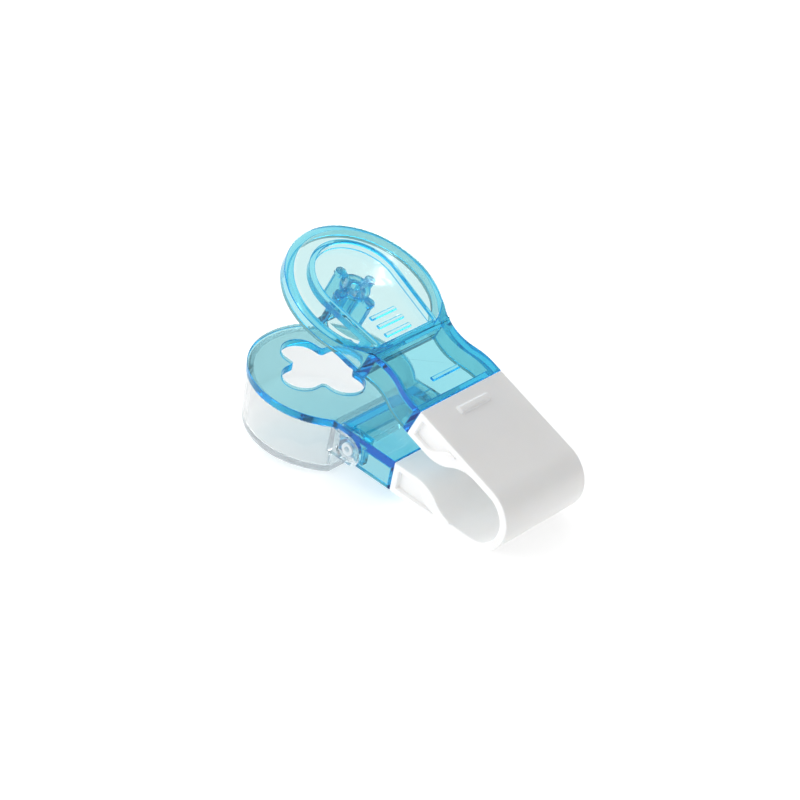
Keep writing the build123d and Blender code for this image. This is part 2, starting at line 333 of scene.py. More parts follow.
@dataclass(frozen=True)
class ClipLayout:
    """The sizes that several pieces or the frames share, in millimetres and degrees."""

    bend_centre_x: float = 25.9
    bend_radius: float = 9.24
    bend_wall: float = 2.2
    opening: float = 18.27
    arm_height: float = 8.4
    flat_length: float = 7.0
    taper_length: float = 14.0
    socket_width: float = 22.0
    socket_height: float = 4.4
    socket_depth: float = 8.6
    tongue_length: float = 8.3
    tongue_clearance: float = 0.1
    pivot: Point = (-15.3, 2.5)
    pin_radius: float = 1.7

    def frames(self, frame: dict) -> tuple[ArmFrame, ArmFrame]:
        """Work out where the two arms stand.


        Returns:
            The lower arm's frame and the upper arm's frame.
        """
        squeeze = next(j for j in frame["joints"] if j["name"] == "clip_squeeze")
        floor = next(m for m in frame["record"]["mounts"] if m["name"] == "box_floor")
        down_x, _, down_z = floor["axis"]
        tilt = math.atan2(-down_x, -down_z)
        to_bend = Matrix.Translation(Vector(squeeze["pos_m"]))
        scale = Matrix.Scale(MM, 4)
        lower = Matrix.Rotation(tilt, 4, "Y") @ scale
        lower @= Matrix.Translation((-self.bend_centre_x, 0, -self.bend_radius))
        upper = Matrix.Rotation(tilt + math.radians(self.opening), 4, "Y") @ scale
        upper @= Matrix.Translation((-self.bend_centre_x, 0, self.bend_radius))
        return ArmFrame(to_bend @ lower), ArmFrame(to_bend @ upper)

    def tongue(self) -> Solid:
        """Return the plug on a jaw that fills an arm's socket, inside towards +z."""
        half = self.socket_width / 2 - self.tongue_clearance
        rise = self.socket_height / 2 - self.tongue_clearance
        middle = self.arm_height / 2
        height = (middle - rise, middle + rise)
        return Solid.block((-OVERLAP, self.tongue_length), (-half, half), height)


# ---------------------------------------------------------------------------- finishes


class NodeTree:
    """A small helper that adds shader nodes and links them by name."""

    def __init__(self, name: str) -> None:
        """Start an empty material."""
        self.material = bpy.data.materials.new(name)
        self.material.use_nodes = True
        self.nodes = self.material.node_tree.nodes
        self.links = self.material.node_tree.links
        self.nodes.clear()
        self.output = self.nodes.new("ShaderNodeOutputMaterial")

    def add(self, kind: str, **values: object) -> bpy.types.Node:
        """Add a node and set its inputs or properties.

        Args:
            kind: The node's type, without its ShaderNode prefix.
            values: Input or property values; an underscore stands for a space in an input's name.

        Returns:
            The node.
        """
        node = self.nodes.new("ShaderNode" + kind)
        for key, value in values.items():
            socket = key.replace("_", " ")
            if socket in node.inputs:
                node.inputs[socket].default_value = value
            else:
                setattr(node, key, value)
        return node

    def link(self, source: bpy.types.NodeSocket, target: bpy.types.NodeSocket) -> None:
        """Link two sockets."""
        self.links.new(source, target)

    def noise(self, scale: float, detail: float, low: float, high: float) -> bpy.types.NodeSocket:
        """Return object-space noise mapped to a range, for roughness or colour changes.

        Args:
            scale: Noise cells per metre.
            detail: Octaves.
            low: Value at the noise's low end.
            high: Value at its high end.

        Returns:
            The mapped value.
        """
        place = self.add("TexCoord")
        texture = self.add("TexNoise", Scale=scale, Detail=detail, Roughness=0.55)
        self.link(place.outputs["Object"], texture.inputs["Vector"])
        spread = self.add("MapRange", From_Min=0.3, From_Max=0.7, To_Min=low, To_Max=high)
        self.link(texture.outputs["Fac"], spread.inputs["Value"])
        return spread.outputs["Result"]

    def edges(self) -> bpy.types.NodeSocket:
        """Return 1 along the rounded edges and 0 on the faces."""
        return self.add("Attribute", attribute_name=EDGE_WEAR_AND_SHADE).outputs["Fac"]

    def worn_edges(self) -> bpy.types.NodeSocket:
        """Return how worn the surface is: patchy along the rounded edges, nothing on the faces."""
        patches = self.noise(scale=500.0, detail=3.0, low=0.2, high=1.0)
        both = self.add("Math", operation="MULTIPLY")
        self.link(self.edges(), both.inputs[0])
        self.link(patches, both.inputs[1])
        return both.outputs[0]

    def bump(self, height: bpy.types.NodeSocket, strength: float, depth: float) -> bpy.types.NodeSocket:
        """Return a bumped normal from a height.

        Args:
            height: The height socket.
            strength: How much of the bump shows.
            depth: Distance between height 0 and 1, in metres.

        Returns:
            The normal socket.
        """
        node = self.add("Bump", Strength=strength, Distance=depth)
        self.link(height, node.inputs["Height"])
        return node.outputs["Normal"]


@dataclass(frozen=True)
class ClearFinish:
    """See-through moulded plastic whose colour deepens with the thickness the light crosses."""

    name: str
    surface: tuple[float, float, float]
    # edge: painted shade, the darker colour given to the rounded edges
    edge: tuple[float, float, float]
    tint: tuple[float, float, float]
    density: float
    shadow: tuple[float, float, float]
    crossings: float = 4.5
    ior: float = 1.45
    clear: float = 1.0
    smooth: float = 0.02
    worn: float = 0.07
    edge_haze: float = 0.12

    def build(self) -> bpy.types.Material:
        """Build the material and return it."""
        tree = NodeTree(self.name)
        plastic = tree.add(
            "BsdfPrincipled",
            Transmission_Weight=self.clear,
            IOR=self.ior,
            Specular_IOR_Level=0.5,
        )
        # painted shade: the rounded edges get a deeper, darker colour than the faces, in place of the
        # dark outlines that dim surroundings give them
        colour = tree.add("Mix", data_type="RGBA")
        colour.inputs[MIX_FIRST].default_value = self.surface + OPAQUE
        colour.inputs[MIX_SECOND].default_value = self.edge + OPAQUE
        tree.link(tree.edges(), colour.inputs[0])
        tree.link(colour.outputs[MIX_RESULT], plastic.inputs["Base Color"])
        # fine handling haze that is rougher along the edges, and the faint flow waves of the moulding
        haze = tree.add("Math", operation="MULTIPLY_ADD")
        haze.inputs[1].default_value = self.edge_haze
        tree.link(tree.worn_edges(), haze.inputs[0])
        handled = tree.noise(scale=220.0, detail=6.0, low=self.smooth, high=self.worn)
        tree.link(handled, haze.inputs[2])
        tree.link(haze.outputs[0], plastic.inputs["Roughness"])
        waves = tree.noise(scale=90.0, detail=2.0, low=0.0, high=1.0)
        tree.link(tree.bump(waves, strength=0.05, depth=0.0004), plastic.inputs["Normal"])
        # lamps shine through, and light that has crossed many walls goes straight on
        through = tree.add("BsdfTransparent", Color=self.shadow + OPAQUE)
        path = tree.add("LightPath")
        deep = tree.add("Math", operation="GREATER_THAN")
        deep.inputs[1].default_value = self.crossings
        tree.link(path.outputs["Ray Depth"], deep.inputs[0])
        either = tree.add("Math", operation="MAXIMUM")
        tree.link(path.outputs["Is Shadow Ray"], either.inputs[0])
        tree.link(deep.outputs[0], either.inputs[1])
        mix = tree.add("MixShader")
        tree.link(either.outputs[0], mix.inputs[0])
        tree.link(plastic.outputs[0], mix.inputs[1])
        tree.link(through.outputs[0], mix.inputs[2])
        tree.link(mix.outputs[0], tree.output.inputs["Surface"])
        inside = tree.add("VolumeAbsorption", Color=self.tint + OPAQUE, Density=self.density)
        tree.link(inside.outputs[0], tree.output.inputs["Volume"])
        return tree.material


@dataclass(frozen=True)
class MouldedFinish:
    """Opaque white moulded plastic with a satin skin, faint flow marks and paler worn edges."""

    name: str
    colour: tuple[float, float, float]
    shade: tuple[float, float, float]
    edge: tuple[float, float, float]
    smooth: float = 0.28
    rough: float = 0.42

    def build(self) -> bpy.types.Material:
        """Build the material and return it."""
        tree = NodeTree(self.name)
        plastic = tree.add(
            "BsdfPrincipled",
            IOR=1.5,
            Subsurface_Weight=0.3,
            Subsurface_Radius=(1.0, 0.9, 0.8),
            Subsurface_Scale=0.002,
        )
        cloud = tree.noise(scale=60.0, detail=4.0, low=0.0, high=1.0)
        body = tree.add("Mix", data_type="RGBA")
        body.inputs[MIX_FIRST].default_value = self.colour + OPAQUE
        body.inputs[MIX_SECOND].default_value = self.shade + OPAQUE
        tree.link(cloud, body.inputs[0])
        worn = tree.add("Mix", data_type="RGBA")
        worn.inputs[MIX_SECOND].default_value = self.edge + OPAQUE
        tree.link(tree.worn_edges(), worn.inputs[0])
        tree.link(body.outputs[MIX_RESULT], worn.inputs[MIX_FIRST])
        tree.link(worn.outputs[MIX_RESULT], plastic.inputs["Base Color"])
        satin = tree.noise(scale=300.0, detail=5.0, low=self.smooth, high=self.rough)
        tree.link(satin, plastic.inputs["Roughness"])
        grain = tree.noise(scale=2600.0, detail=3.0, low=0.0, high=1.0)
        tree.link(tree.bump(grain, strength=0.12, depth=0.00004), plastic.inputs["Normal"])
        tree.link(plastic.outputs[0], tree.output.inputs["Surface"])
        return tree.material


# each edge colour below is painted shade: rounded edges coloured darker than the faces
BLUE = ClearFinish(
    name="tinted_plastic",
    surface=(0.86, 0.84, 0.80),
    edge=(0.02, 0.38, 0.70),
    tint=(0.0, 0.815, 0.95),
    density=330.0,
    shadow=(0.93, 0.98, 0.99),
)
DEEP_BLUE = ClearFinish(
    name="pusher_plastic",
    surface=(0.82, 0.86, 0.86),
    edge=(0.03, 0.45, 0.75),
    tint=(0.0, 0.82, 0.955),
    density=430.0,
    shadow=(0.93, 0.975, 0.99),
)
CLEAR = ClearFinish(
    name="clear_plastic",
    surface=(0.90, 0.90, 0.895),
    edge=(0.72, 0.74, 0.76),
    tint=(0.79, 0.80, 0.81),
    density=130.0,
    shadow=(0.98, 0.98, 0.985),
    clear=0.9,
)
MILKY = ClearFinish(
    name="pin_plastic",
    surface=(0.95, 0.95, 0.95),
    edge=(0.9, 0.92, 0.95),
    tint=(0.79, 0.80, 0.81),
    density=130.0,
    shadow=(0.98, 0.98, 0.985),
    clear=0.4,
)
WHITE = MouldedFinish(
    name="clip_plastic",
    colour=(0.93, 0.93, 0.925),
    shade=(0.90, 0.90, 0.895),
    edge=(0.95, 0.95, 0.95),
)


# ---------------------------------------------------------------------------- pieces


@dataclass
class Piece:
    """One moulded piece: its shape in an arm's millimetres, its frame, its body and its finish."""

    name: str
    body: str
    nodes: tuple[str, ...]
    finish: ClearFinish | MouldedFinish
    place: ArmFrame
    layout: ClipLayout
    edge_radius: float = 0.2
    edge_segments: int = 3
    edge_clamp: bool = False

    def shape(self) -> Solid:
        """Build the piece's solid in its arm's millimetres."""
        raise NotImplementedError

    def make(self) -> bpy.types.Object:
        """Build, place, round and dress the piece, and hang it on its body.

        Returns:
            The finished object.
        """
        solid = self.shape()
        piece = solid.scratch
        piece.name = self.name
        piece.data.name = self.name
        self._clean(piece.data)
        piece.data.transform(self.place.matrix)
        material = self.finish.build()
        piece.data.materials.clear()
        for _ in range(2):
            piece.data.materials.append(material)
        piece.data.shade_smooth()
        edges = piece.modifiers.new("rounded_edges", "BEVEL")
        edges.width = self.edge_radius * MM
        edges.segments = self.edge_segments
        edges.limit_method = "ANGLE"
        edges.angle_limit = math.radians(SHARP)
        edges.use_clamp_overlap = self.edge_clamp
        edges.miter_outer = "MITER_ARC"
        edges.material = 1
        shading = piece.modifiers.new("flat_faces", "WEIGHTED_NORMAL")
        shading.weight = FACE_PULL
        shading.keep_sharp = True
        self._apply(piece)
        self._mark_edges(piece.data)
        self.attach(piece)
        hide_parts(*self.nodes)
        log.info("%s: %d faces on %s", self.name, len(piece.data.polygons), self.body)
        return piece

    def attach(self, piece: bpy.types.Object) -> None:
        """Hang the piece on its body."""
        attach(piece, self.body)

    @staticmethod
    def _apply(piece: bpy.types.Object) -> None:
        """Apply the piece's modifiers to its mesh."""
        graph = bpy.context.evaluated_depsgraph_get()
        graph.update()
        made = bpy.data.meshes.new_from_object(piece.evaluated_get(graph))
        piece.modifiers.clear()
        old, piece.data = piece.data, made
        bpy.data.meshes.remove(old)
        made.name = piece.name

    @staticmethod
    def _mark_edges(mesh: bpy.types.Mesh) -> None:
        """Mark the rounded edges, which carry the second material slot, and drop that slot."""
        # this mark carries both the rounded edges' wear and their painted shade
        worn = mesh.color_attributes.new(EDGE_WEAR_AND_SHADE, "FLOAT_COLOR", "CORNER")
        for face in mesh.polygons:
            amount = float(face.material_index)
            for corner in face.loop_indices:
                worn.data[corner].color = (amount, amount, amount, 1.0)
            face.material_index = 0
        mesh.materials.pop(index=1)

    @staticmethod
    def _clean(mesh: bpy.types.Mesh) -> None:
        """Join the flat faces that the solids were cut into, in place."""
        shell = bmesh.new()
        shell.from_mesh(mesh)
        bmesh.ops.remove_doubles(shell, verts=shell.verts, dist=WELD)
        bmesh.ops.dissolve_limit(
            shell,
            angle_limit=math.radians(FLAT),
            use_dissolve_boundaries=False,
            verts=shell.verts,
            edges=shell.edges,
            delimit=set(),
        )
        bmesh.ops.recalc_face_normals(shell, faces=shell.faces)
        shell.to_mesh(mesh)
        shell.free()


@dataclass
class SpringClip(Piece):
    """The white U-shaped spring: two arms with thick hollow ends, joined by the bend."""

    edge_radius: float = 0.3
    width: float = 30.0
    recess_depth: float = 1.2
    recess_border: float = 1.7
    recess_run_out: float = 6.8
    bar_start: float = 3.0
    bar_foot: float = 2.8
    bar_crest: float = 1.5
    bar_length: float = 10.7
    bar_height: float = 0.9
    blend_start: Point = (30.0, 8.6)
    blend_end: Point = (30.0, 15.6)

    def to_lower(self, point: Point) -> Point:
        """Turn a side-view point of the upper arm into the lower arm's frame."""
        lay = self.layout
        turn = math.radians(lay.opening)
        x, z = point[0] - lay.bend_centre_x, point[1] + lay.bend_radius
        across = x * math.cos(turn) + z * math.sin(turn)
        up = -x * math.sin(turn) + z * math.cos(turn)
        return (lay.bend_centre_x + across, lay.bend_radius + up)

    def on_arm(self, outline: Outline, is_upper: bool) -> Outline:
        """Place a side-view outline, depths positive, on one arm.

        Args:
            outline: The outline as the lower arm has it.
            is_upper: Whether it goes on the upper arm instead.

        Returns:
            The outline in the lower arm's frame.
        """
        return [self.to_lower((x, -z)) for x, z in outline] if is_upper else outline

    def arm_inside(self) -> Outline:
        """Return the inside of an arm, from the joint to the bend, depths positive."""
        lay = self.layout
        taper_end = (lay.flat_length + lay.taper_length, lay.bend_wall)
        return [(0.0, lay.arm_height)] + s_curve((lay.flat_length, lay.arm_height), taper_end)

    def profile(self) -> Outline:
        """Return the clip's closed side view in the lower arm's frame."""
        lay = self.layout
        centre = (lay.bend_centre_x, lay.bend_radius)
        turn = 90 - lay.opening
        lower_inside = self.arm_inside()
        upper_inside = self.on_arm(lower_inside, is_upper=True)
        outer = arc(centre, lay.bend_radius, -90, turn)
        inner = arc(centre, lay.bend_radius - lay.bend_wall, turn, -90)
        return (
            [(0.0, 0.0)]
            + outer
            + [self.to_lower((0.0, 0.0))]
            + upper_inside
            + inner
            + lower_inside[::-1]
        )

    def recess(self) -> Outline:
        """Return the side pocket's outline, depths positive."""
        lay = self.layout
        low, high = self.recess_border, lay.arm_height - self.recess_border
        end = lay.flat_length + lay.taper_length - self.recess_run_out
        return [(low, low)] + s_curve((end, low), (lay.flat_length - low, high)) + [(low, high)]

    def shape(self) -> Solid:
        """Build the clip with its sockets, side pockets and raised bar."""
        lay = self.layout
        half = self.width / 2
        clip = Solid.prism(Plane.SIDE, self.profile(), -half, half)
        middle, rise = lay.arm_height / 2, lay.socket_height / 2
        socket = rectangle((-OVERLAP, lay.socket_depth), (middle - rise, middle + rise))
        side = lay.socket_width / 2
        pocket = self.recess()
        bar = [
            (self.bar_start, -OVERLAP),
            (self.bar_start + (self.bar_foot - self.bar_crest) / 2, self.bar_height),
            (self.bar_start + (self.bar_foot + self.bar_crest) / 2, self.bar_height),
            (self.bar_start + self.bar_foot, -OVERLAP),
        ]
        for is_upper in (False, True):
            clip.cut(Solid.prism(Plane.SIDE, self.on_arm(socket, is_upper), -side, side))
            for side_face in (-1, 1):
                floor, outside = half - self.recess_depth, half + OVERLAP
                low, high = sorted((side_face * floor, side_face * outside))
                clip.cut(Solid.prism(Plane.SIDE, self.on_arm(pocket, is_upper), low, high))
        raised = [self.to_lower(p) for p in bar]
        clip.add(Solid.prism(Plane.SIDE, raised, -self.bar_length / 2, self.bar_length / 2))
        return clip

    def attach(self, piece: bpy.types.Object) -> None:
        """Work out the bend's two ends, which nothing uses, and bake the piece's placement into its
        mesh.
        """
        start = self.place.point(self.blend_start[0], 0, self.blend_start[1])
        end = self.place.point(self.blend_end[0], 0, self.blend_end[1])
        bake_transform(piece)


@dataclass
class LowerJaw(Piece):
    """The blue lower jaw: neck, ring with its cross-shaped opening, cheeks and tongue."""

    height: float = 8.48
    wall: float = 2.0
    plate: float = 2.1
    neck_plate: float = 3.4
    end_wall: float = 1.6
    half_width: float = 14.8
    ring_x: float = -35.3
    ring_radius: float = 21.04
    cross_x: float = -37.9
    slot_length: float = 25.4
    slot_width: float = 10.0
    corner: float = 1.2
    step_x: float = -19.0
    cheek_half: float = 12.4
    cheek_end: float = -10.5
    swing_radius: float = 4.5

    def cross(self) -> Outline:
        """Return the cross-shaped opening."""
        half = self.slot_width / 2
        end = (self.slot_length - self.slot_width) / 2
        inner = half + self.corner
        quarter = arc((end, 0), half, -90, 90) + arc((inner, inner), self.corner, 270, 180)
        points: Outline = []
        for turn in range(4):
            c, s = round(math.cos(turn * math.pi / 2)), round(math.sin(turn * math.pi / 2))
            points += [(self.cross_x + c * x - s * y, s * x + c * y) for x, y in quarter]
        return points

    def shape(self) -> Solid:
        """Build the jaw."""
        top, under = self.height, self.height - self.plate
        ring = (self.ring_x, 0.0)
        pivot, pin_radius = self.layout.pivot, self.layout.pin_radius
        half, inner, cheek = self.half_width, self.half_width - self.wall, self.cheek_half
        jaw = Solid.prism(Plane.PLAN, circle(ring, self.ring_radius), under, top)
        jaw.add(
            Solid.block((self.ring_x, 0), (-half, half), (under, top)),
            Solid.block((self.step_x, 0), (-half, half), (top - self.neck_plate, top)),
        )
        walls = (0, under + OVERLAP)
        for low, high in ((inner, half), (-half, -inner)):
            jaw.add(Solid.block((pivot[0], 0), (low, high), walls))
        for low, high in ((cheek - self.wall, cheek), (-cheek, self.wall - cheek)):
            jaw.add(Solid.block((self.step_x, self.cheek_end), (low, high), walls))
        jaw.add(
            Solid.block((self.step_x, self.step_x + self.wall), (-cheek, cheek), walls),
            Solid.block((-self.end_wall, 0), (-half, half), walls),
            self.layout.tongue(),
        )
        ceiling = pivot[1] + self.swing_radius
        for low, high in ((cheek, half + OVERLAP), (-half - OVERLAP, -cheek)):
            jaw.cut(
                Solid.crosswise(pivot, self.swing_radius, (low, high)),
                Solid.block((self.step_x, pivot[0]), (low, high), (-OVERLAP, ceiling)),
            )
        jaw.cut(Solid.prism(Plane.PLAN, self.cross(), 0, top + OVERLAP))
        jaw.cut(Solid.crosswise(pivot, pin_radius, (-cheek - OVERLAP, cheek + OVERLAP)))
        return jaw


@dataclass
class UpperJaw(Piece):
    """The blue upper jaw: waisted neck, disc with its sloping band, keyhole dish and skirt."""

    height: float = 8.2
    wall: float = 2.0
    plate: float = 1.1
    neck_plate: float = 2.8
    joint_half: float = 15.0
    waist_half: float = 12.9
    waist_x: float = -13.5
    waist_start: float = -3.0
    disc_x: float = -35.14
    disc_radius: float = 21.06
    band_radius: float = 18.3
    band_drop: float = 1.3
    band_end: float = -24.5
    band_runout: float = 6.0
    skirt: float = 4.5
    step_tip: float = -28.0
    step_neck: float = -17.0
    dish_x: float = -38.0
    dish_radius: float = 11.7
    mouth_x: float = -20.0
    mouth_half: float = 9.6
    dish_depth: float = 2.2
    dish_rim: float = 1.2
    ridge_width: float = 1.0
    neck_ridge_x: float = -6.0
    neck_ridge_length: float = 10.0
    neck_ridge_height: float = 0.4
    grips: tuple[float, ...] = (-22.4, -25.2, -28.0)
    grip_length: float = 9.0
    grip_height: float = 0.35

    def plan(self, shrink: float) -> Outline:
        """Return the jaw's plan, shrunk inwards by a distance."""
        disc, waist = self.disc_radius - shrink, self.waist_half - shrink
        joint = self.joint_half - shrink
        run = self.waist_x - self.disc_x
        flare = (run**2 + waist**2 - disc**2) / (2 * (disc - waist))
        meet = math.degrees(math.atan2(waist + flare, run))
        half = (
            [(-shrink, joint)]
            + s_curve((self.waist_start, joint), (self.waist_x, waist))
            + arc((self.waist_x, waist + flare), flare, -90, meet - 180)[1:]
            + arc((self.disc_x, 0), disc, meet, 180)[1:]
        )
        return half + [(x, -y) for x, y in reversed(half[:-1])]

    def dish(self, grow: float) -> Outline:
        """Return the keyhole-shaped dish, grown outwards by a distance."""
        radius, half = self.dish_radius + grow, self.mouth_half + grow
        centre = (self.dish_x, 0.0)
        run = self.mouth_x - self.dish_x
        toward = math.degrees(math.atan2(half, run))
        touch = toward + math.degrees(math.acos(radius / math.hypot(run, half)))
        round_end = arc(centre, radius, touch, 360 - touch)
        return [(self.mouth_x, half)] + round_end + [(self.mouth_x, -half)]

    def shape(self) -> Solid:
        """Build the jaw."""
        wide = (-REACH, REACH)
        jaw = Solid.prism(Plane.PLAN, self.plan(0.0), -self.height, 0)
        jaw.cut(Solid.prism(Plane.PLAN, self.plan(self.wall), -self.height - OVERLAP, -self.plate))
        thick = Solid.block((self.mouth_x, -OVERLAP), wide, (-self.neck_plate, -self.plate / 2))
        dish_wall = (self.mouth_x, self.mouth_x + self.wall)
        thick.add(Solid.block(dish_wall, wide, (-self.height, -self.plate / 2)))
        thick.keep(Solid.prism(Plane.PLAN, self.plan(self.wall / 2), -REACH, REACH))
        jaw.add(thick)
        below = (
            [(-REACH, -self.skirt)]
            + s_curve((self.step_tip, -self.skirt), (self.step_neck, -self.height))
            + [(self.step_neck, -REACH), (-REACH, -REACH)]
        )
        jaw.cut(Solid.prism(Plane.SIDE, below, *wide))
        jaw.cut(self.band())
        floor = -self.plate - self.dish_depth
        jaw.add(Solid.prism(Plane.PLAN, self.dish(self.dish_rim), floor, -self.plate / 2))
        jaw.cut(Solid.prism(Plane.PLAN, self.dish(0.0), -self.dish_depth, OVERLAP))
        grip_top = self.grip_height - self.dish_depth
        for x in self.grips:
            jaw.add(self.ridge(x, self.grip_length, (-self.dish_depth - self.plate / 2, grip_top)))
        neck_ridge = (-self.plate, self.neck_ridge_height)
        jaw.add(self.ridge(self.neck_ridge_x, self.neck_ridge_length, neck_ridge))
        plug = self.layout.tongue()
        jaw.add(plug.mirrored())
        plug.discard()
        return jaw

    def ridge(self, x: float, length: float, z: Point) -> Solid:
        """Return one straight ridge across the jaw.

        Args:
            x: Its middle along the jaw.
            length: Its length across the jaw.
            z: Its root and its top.

        Returns:
            The ridge.
        """
        half = self.ridge_width / 2
        return Solid.block((x - half, x + half), (-length / 2, length / 2), z)

    def band(self) -> Solid:
        """Return what is cut away above the sloping band, running out before the neck."""
        outside = self.disc_radius + OVERLAP
        profile = [
            (self.band_radius, 0.0),
            (self.disc_radius, -self.band_drop),
            (outside, -self.band_drop),
            (outside, OVERLAP),
            (self.band_radius, OVERLAP),
        ]
        kept = [
            (-REACH, -REACH),
            (self.band_end, -REACH),
            (self.band_end, -self.band_drop),
            (self.band_end + self.band_runout, 0.0),
            (self.band_end + self.band_runout, REACH),
            (-REACH, REACH),
        ]
        band = Solid.lathe(profile, (self.disc_x, 0.0))
        return band.keep(Solid.prism(Plane.SIDE, kept, -REACH, REACH))


@dataclass
class Pusher(Piece):
    """The deeper blue pusher: a four-lobed crown on cross-shaped legs."""

    centre_x: float = -37.95
    crown_top: float = -3.3
    crown_height: float = 1.3
    hub: float = 4.0
    bore: float = 1.2
    lobe_at: float = 5.4
    lobe: float = 1.4
    reach: float = 6.4
    blade: float = 2.0
    tip: float = -13.0

    def shape(self) -> Solid:
        """Build the pusher."""
        low = self.crown_top - self.crown_height
        middle = (self.centre_x, 0.0)
        body = Solid.prism(Plane.PLAN, circle(middle, self.hub), low, self.crown_top)
        body.add(Solid.prism(Plane.PLAN, circle(middle, self.hub - self.bore), self.tip, low + OVERLAP))
        half = self.blade / 2
        for turn in range(4):
            lobe_x, reach_x = self.centre_x + self.lobe_at, self.centre_x + self.reach
            arm = Solid.block((self.centre_x, lobe_x), (-half, half), (low, self.crown_top))
            arm.add(
                Solid.prism(Plane.PLAN, circle((lobe_x, 0), self.lobe), low, self.crown_top),
                Solid.block((self.centre_x, reach_x), (-half, half), (self.tip, low + OVERLAP / 2)),
            )
            body.add(arm.turned(90 * turn, middle))
            arm.discard()
        ends = (self.tip - OVERLAP, self.crown_top + OVERLAP)
        body.cut(Solid.prism(Plane.PLAN, circle(middle, self.bore), *ends))
        return body


@dataclass
class PillBox(Piece):
    """The clear pill box: a round cup with one flat side and two ears."""

    edge_radius: float = 0.3
    edge_clamp: bool = True
    centre_x: float = -35.3
    top: float = 6.05
    bottom: float = -8.4
    top_radius: float = 20.7
    bottom_radius: float = 20.2
    flat_x: float = -20.1
    wall: float = 1.5
    floor: float = 1.6
    edge: float = 1.2
    ear_radius: float = 4.0
    ear_inner: float = 12.7
    ear_outer: float = 14.7
    ear_bottom: float = -1.0
    bore: float = 1.76
    counterbore: float = 3.2
    counterbore_depth: float = 0.9
    past: float = 1.0      # how far its cutters pass a face

    def cup(self, shrink: float, bottom: float, top: float, edge: float) -> Solid:
        """Build the cup's solid form.

        Args:
            shrink: How far inwards its sides stand.
            bottom: Height of its underside.
            top: Height of its top.
            edge: Radius of its rounded lower edge.

        Returns:
            The solid.
        """
        draft = (self.top_radius - self.bottom_radius) / (self.top - self.bottom)
        low = self.bottom_radius - shrink + draft * (bottom - self.bottom)
        high = low + draft * (top - bottom)
        rounded = arc((low - edge, bottom + edge), edge, -90, 0)
        profile = [(0.0, bottom)] + rounded + [(high, top), (0.0, top)]
        cup = Solid.lathe(profile, (self.centre_x, 0.0))
        flat = self.flat_x - shrink
        side = (
            [(-REACH, bottom - self.past), (flat - edge, bottom - self.past)]
            + arc((flat - edge, bottom + edge), edge, -90, 0)
            + [(flat, REACH), (-REACH, REACH)]
        )
        return cup.keep(Solid.prism(Plane.SIDE, side, -REACH, REACH))

    def shape(self) -> Solid:
        """Build the box."""
        box = self.cup(0, self.bottom, self.top, self.edge)
        pivot = self.layout.pivot
        start = self.flat_x - 2 * self.wall
        top_angle = math.degrees(math.asin((self.top - pivot[1]) / self.ear_radius))
        low_angle = math.degrees(math.asin((self.ear_bottom - pivot[1]) / self.ear_radius))
        ear = [(start, self.ear_bottom)] + arc(pivot, self.ear_radius, low_angle, top_angle)
        ear += [(start, self.top)]
        for side in (-1, 1):
            low, high = sorted((side * self.ear_inner, side * self.ear_outer))
            box.add(Solid.prism(Plane.SIDE, ear, low, high))
        cavity = (self.bottom + self.floor, self.top + self.past)
        box.cut(self.cup(self.wall, *cavity, self.edge / 2))
        outside, recess = self.ear_outer + self.past, self.ear_outer - self.counterbore_depth
        box.cut(Solid.crosswise(pivot, self.bore, (-outside, outside)))
        box.cut(Solid.crosswise(pivot, self.counterbore, (recess, outside)))
        box.cut(Solid.crosswise(pivot, self.counterbore, (-outside, -recess)))
        return box


@dataclass
class PivotPin(Piece):
    """One hollow pin that the pill box's ear turns on."""

    edge_clamp: bool = True
    side: int = -1
    hole: float = 0.8
    inner: float = 10.4
    outer: float = 14.25

    def shape(self) -> Solid:
        """Build the pin."""
        pivot = self.layout.pivot
        low, high = sorted((self.side * self.inner, self.side * self.outer))
        pin = Solid.crosswise(pivot, self.layout.pin_radius, (low, high))
        return pin.cut(Solid.crosswise(pivot, self.hole, (low - OVERLAP, high + OVERLAP)))


# ---------------------------------------------------------------------------- studio


@dataclass(frozen=True)
class Softbox:
    """One soft box aimed at the object: its place and size in metres, and its power in watts."""

    name: str
    place: tuple[float, float, float]
    size: Point
    power: float

    def hang(self) -> None:
        """Hang the soft box."""
        lamp = bpy.data.lights.new(self.name, "AREA")
        lamp.shape = "RECTANGLE"
        lamp.size, lamp.size_y = self.size
        lamp.energy = self.power
        box = bpy.data.objects.new(self.name, lamp)
        bpy.context.scene.collection.objects.link(box)
        place = Vector(self.place)
        box.location = place
        box.rotation_mode = "QUATERNION"
        box.rotation_quaternion = (-place).to_track_quat("-Z", "Y")


